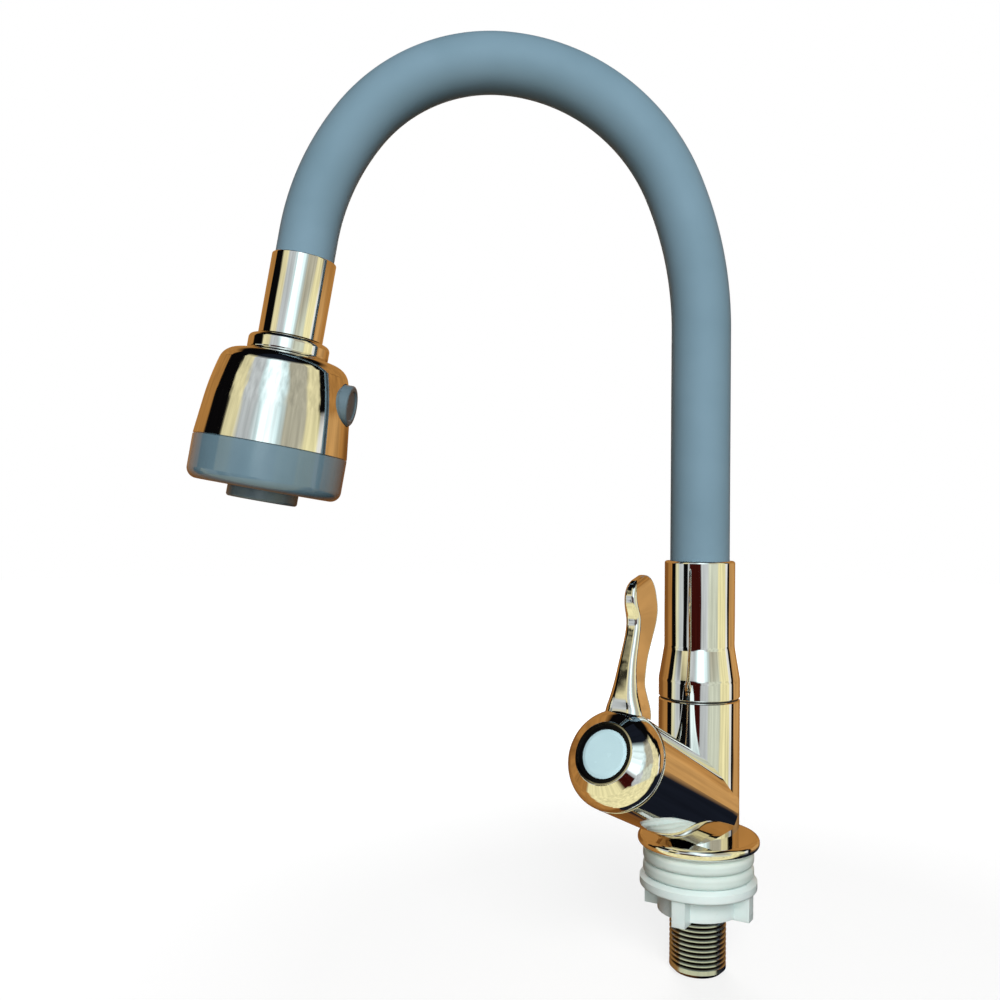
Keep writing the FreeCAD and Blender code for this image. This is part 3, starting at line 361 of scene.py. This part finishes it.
def tube(name, size, around, wound):
    """Closed tube with an inner and an outer wall; a wound one has a helical groove in both."""
    low, depth, outer, inner = size
    line = spout_line(low, depth)
    vertices, faces = [], []
    side = Vector((0, 1, 0))
    travelled = 0.0
    for k, (place, direction) in enumerate(line):
        if k:
            travelled += (place - line[k - 1][0]).length
        across = direction.cross(side)
        for radius in (outer, inner):
            for j in range(around):
                a = 2 * math.pi * j / around
                r = radius
                if wound:
                    r -= WIND_DEPTH * (0.5 - 0.5 * math.cos(2 * math.pi * travelled / WIND_PITCH - a))
                vertices.append(place + side * (r * math.cos(a)) + across * (r * math.sin(a)))
    ring = 2 * around
    for k in range(len(line) - 1):
        for j in range(around):
            n = (j + 1) % around
            a, b = k * ring, (k + 1) * ring
            faces.append((a + j, b + j, b + n, a + n))
            faces.append((a + around + j, a + around + n, b + around + n, b + around + j))
    end = (len(line) - 1) * ring
    for j in range(around):
        n = (j + 1) % around
        faces.append((j, n, around + n, around + j))
        faces.append((end + j, end + around + j, end + around + n, end + n))
    mesh = bpy.data.meshes.new(name)
    mesh.from_pydata([tuple(v) for v in vertices], [], faces)
    mesh.validate()
    mesh.update()
    for polygon in mesh.polygons:
        polygon.use_smooth = True
    return link_object(name, mesh)


def dress_spout(materials):
    for name, node, size, around, wound, slot in (
        ("spout_hose", "hose_sleeve", HOSE, HOSE_SIDES, False, "hose_silicone"),
        ("spout_gooseneck", "gooseneck_tube", GOOSENECK, GOOSENECK_SIDES, True, "inner_steel"),
        ("spout_water_tube", "water_tube", WATER_TUBE, WATER_TUBE_SIDES, False, "swivel_plastic"),
    ):
        piece = tube(name, size, around, wound)
        piece.data.materials.append(materials[slot])
        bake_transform(piece)
        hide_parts(node)


def dress_spring(materials):
    """The button's spring: a copy of its CAD node, carried on the head's body."""
    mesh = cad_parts["button_spring"].data.copy()
    mesh.materials.clear()
    mesh.materials.append(materials["inner_steel"])
    spring = link_object("spring_coil", mesh)
    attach(spring, "head")
    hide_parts("button_spring")
    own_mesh(spring)


# Studio


def seen_directly(nodes, links):
    """1 for rays from the camera, a mirror or glass, and 0 for the rays that light the object."""
    path = nodes.new("ShaderNodeLightPath").outputs
    first = combine(nodes, links, "ADD", path["Is Camera Ray"], path["Is Glossy Ray"], clamp=True)
    return combine(nodes, links, "ADD", first, path["Is Transmission Ray"], clamp=True)


def make_world():
    world = bpy.data.worlds.new("studio")
    world.use_nodes = True
    nodes, links = world.node_tree.nodes, world.node_tree.links
    nodes.clear()
    shown = nodes.new("ShaderNodeBackground")
    shown.inputs["Color"].default_value = (1, 1, 1, 1)
    shown.inputs["Strength"].default_value = 1.0
    direction = nodes.new("ShaderNodeSeparateXYZ")
    links.new(nodes.new("ShaderNodeTexCoord").outputs["Generated"], direction.inputs[0])
    light = nodes.new("ShaderNodeBackground")
    height = map_range(nodes, links, direction.outputs["Z"], -LIGHT_SPAN, LIGHT_SPAN)
    links.new(ramp(nodes, links, height, 0.0, 1.0, LIGHT_BELOW, LIGHT_ABOVE), light.inputs["Color"])
    mix = nodes.new("ShaderNodeMixShader")
    links.new(seen_directly(nodes, links), mix.inputs[0])
    links.new(light.outputs[0], mix.inputs[1])
    links.new(shown.outputs[0], mix.inputs[2])
    out = nodes.new("ShaderNodeOutputWorld")
    links.new(mix.outputs[0], out.inputs["Surface"])
    bpy.context.scene.world = world


def make_floor():
    mesh = bpy.data.meshes.new("floor")
    rim = []
    for k in range(FLOOR_SIDES):
        a = 2 * math.pi * k / FLOOR_SIDES
        rim.append((FLOOR_R * math.cos(a), FLOOR_R * math.sin(a), FLOOR_Z))
    mesh.from_pydata(rim, [], [tuple(range(FLOOR_SIDES))])
    floor = link_object("floor", mesh)
    material, nodes, links, shader = new_material("floor_pale")
    shader.inputs["Base Color"].default_value = (FLOOR_GREY, FLOOR_GREY, FLOOR_GREY, 1)
    shader.inputs["Roughness"].default_value = FLOOR_ROUGHNESS
    shader.inputs["Specular IOR Level"].default_value = 0.0
    reach = distance(nodes, links, nodes.new("ShaderNodeTexCoord").outputs["Object"])
    fade = map_range(nodes, links, reach, *FLOOR_FADE, FLOOR_GLOW, 1.0)
    glow = combine(nodes, links, "MULTIPLY", fade, seen_directly(nodes, links))
    shader.inputs["Emission Color"].default_value = (1, 1, 1, 1)
    links.new(glow, shader.inputs["Emission Strength"])
    mesh.materials.append(material)
    floor.visible_glossy = False
    floor.visible_diffuse = False


def room_mesh():
    vertices, faces = [], []
    for row in range(1, ROOM_ROWS):
        lift = math.pi * (row / ROOM_ROWS - 0.5)
        for column in range(ROOM_COLUMNS):
            a = 2 * math.pi * column / ROOM_COLUMNS
            spoke = ROOM_R * math.cos(lift)
            vertices.append((spoke * math.cos(a), spoke * math.sin(a), ROOM_R * math.sin(lift)))
    for row in range(ROOM_ROWS - 2):
        for column in range(ROOM_COLUMNS):
            n = (column + 1) % ROOM_COLUMNS
            a, b = row * ROOM_COLUMNS, (row + 1) * ROOM_COLUMNS
            faces.append((a + column, b + column, b + n, a + n))
    top = (ROOM_ROWS - 2) * ROOM_COLUMNS
    faces.append(tuple(range(ROOM_COLUMNS)))
    faces.append(tuple(top + column for column in reversed(range(ROOM_COLUMNS))))
    mesh = bpy.data.meshes.new("room")
    mesh.from_pydata(vertices, [], faces)
    return mesh


def room_colors():
    """Wall colours of the four tiers, from the lowest up, by degrees to the right of the camera's side."""
    white = srgb(250, 250, 246)
    dark_wood = srgb(132, 84, 38)
    wood = srgb(184, 130, 68)
    tan = srgb(208, 158, 96)
    black = srgb(10, 9, 10)
    ink = srgb(24, 28, 38)
    maroon = srgb(62, 18, 14)
    yellow = srgb(244, 234, 184)
    cream = srgb(255, 246, 190)
    stone = srgb(220, 226, 206)
    silver = srgb(208, 214, 216)
    grey = srgb(190, 186, 166)
    window = srgb(228, 252, 255)
    lamp = (1.5, 1.75, 1.8, 1.0)
    under = (
        (-180, dark_wood), (-120, wood), (-94, wood), (-86, cream), (64, cream), (74, black), (84, ink),
        (156, ink), (166, dark_wood), (180, dark_wood))
    below = (
        (-180, dark_wood), (-150, dark_wood), (-128, wood), (-115, wood), (-112, black), (-95, black),
        (-92, yellow), (-82, stone), (-79, silver), (-65, silver), (-63, black), (-49, black),
        (-47, silver), (-43, silver), (-40, maroon), (-4, maroon), (-1, silver), (16, silver),
        (22, stone), (50, stone), (55, cream), (80, cream), (83, white), (90, white), (92, black),
        (99, black), (102, tan), (124, tan), (140, wood), (165, dark_wood), (180, dark_wood))
    above = (
        (-180, wood), (-104, wood), (-101, black), (-69, black), (-66, yellow), (-48, yellow),
        (-43, silver), (-23, silver), (-16, window), (-7, lamp), (3, lamp), (18, window), (27, grey),
        (55, grey), (60, yellow), (77, yellow), (80, black), (97, black), (100, wood), (180, wood))
    ceiling = ((-180, black), (-60, black), (-40, ink), (40, ink), (60, black), (180, black))
    return under, below, above, ceiling


def by_height(nodes, links, height, span, lower, upper):
    mix = nodes.new("ShaderNodeMix")
    mix.data_type = "RGBA"
    links.new(map_range(nodes, links, height, *span), mix.inputs["Factor"])
    links.new(lower, mix.inputs[6])
    links.new(upper, mix.inputs[7])
    return mix.outputs[2]


def room_material():
    material = bpy.data.materials.new("room_walls")
    material.use_nodes = True
    nodes, links = material.node_tree.nodes, material.node_tree.links
    nodes.clear()
    spot = nodes.new("ShaderNodeTexCoord").outputs["Object"]
    place = nodes.new("ShaderNodeSeparateXYZ")
    links.new(spot, place.inputs[0])
    height = place.outputs["Z"]
    front = nodes.new("ShaderNodeMath")
    front.operation = "MULTIPLY"
    front.inputs[1].default_value = -1.0
    links.new(place.outputs["Y"], front.inputs[0])
    angle = combine(nodes, links, "ARCTAN2", place.outputs["X"], front.outputs[0])
    turn = map_range(nodes, links, angle, -math.pi, math.pi)
    drift = noise(nodes, links, spot, ROOM_SWAY_SCALE)
    sway = combine(nodes, links, "ADD", turn, spread(nodes, links, drift, -ROOM_SWAY, ROOM_SWAY))
    under, below, above, ceiling = [color_stops(nodes, links, sway, stops) for stops in room_colors()]
    level = (0.0, 0.0, 0.0, 1.0)
    lowered = (ROOM_SILL_DIP, ROOM_SILL_DIP, ROOM_SILL_DIP, 1.0)
    sill = ((-180, level), (-26, level), (-12, lowered), (6, lowered), (20, level), (180, level))
    dip = combine(nodes, links, "ADD", height, color_stops(nodes, links, sway, sill))
    walls = by_height(nodes, links, height, ROOM_UNDER, under, below)
    walls = by_height(nodes, links, dip, ROOM_SILL, walls, above)
    walls = by_height(nodes, links, height, ROOM_CEILING, walls, ceiling)
    shades = noise(nodes, links, spot, ROOM_SHADE_SCALE, detail=5.0, roughness=0.6)
    glow = nodes.new("ShaderNodeEmission")
    links.new(walls, glow.inputs["Color"])
    links.new(spread(nodes, links, shades, *ROOM_SHADES), glow.inputs["Strength"])
    out = nodes.new("ShaderNodeOutputMaterial")
    links.new(glow.outputs[0], out.inputs["Surface"])
    return material


def make_room():
    mesh = room_mesh()
    room = link_object("room", mesh)
    room.location = ROOM_CENTRE
    mesh.materials.append(room_material())
    room.visible_camera = False
    room.visible_diffuse = False
    room.visible_shadow = False
    room.visible_transmission = False
    room.visible_volume_scatter = False


def make_lamps():
    for name, (place, target, size, power, color) in LAMPS.items():
        data = bpy.data.lights.new(name, "AREA")
        data.shape = "DISK"
        data.size = size
        data.energy = power
        data.color = color
        lamp = link_object(name, data)
        lamp.location = place
        lamp.rotation_euler = (Vector(target) - Vector(place)).to_track_quat("-Z", "Y").to_euler()
        lamp.visible_glossy = False


def make_camera():
    data = bpy.data.cameras.new("camera")
    data.sensor_width = CAMERA_SENSOR
    data.lens = CAMERA_LENS
    data.shift_y = CAMERA_SHIFT_Y
    data.clip_start = CAMERA_CLIP
    camera = link_object("camera", data)
    camera.location = CAMERA_PLACE
    camera.rotation_euler = (math.pi / 2, CAMERA_ROLL, 0)
    bpy.context.scene.camera = camera


bpy.context.scene.view_settings.view_transform = "Standard"
finishes = make_materials()
dress_nodes(finishes)
dress_spout(finishes)
dress_spring(finishes)
make_world()
make_floor()
make_room()
make_lamps()
make_camera()
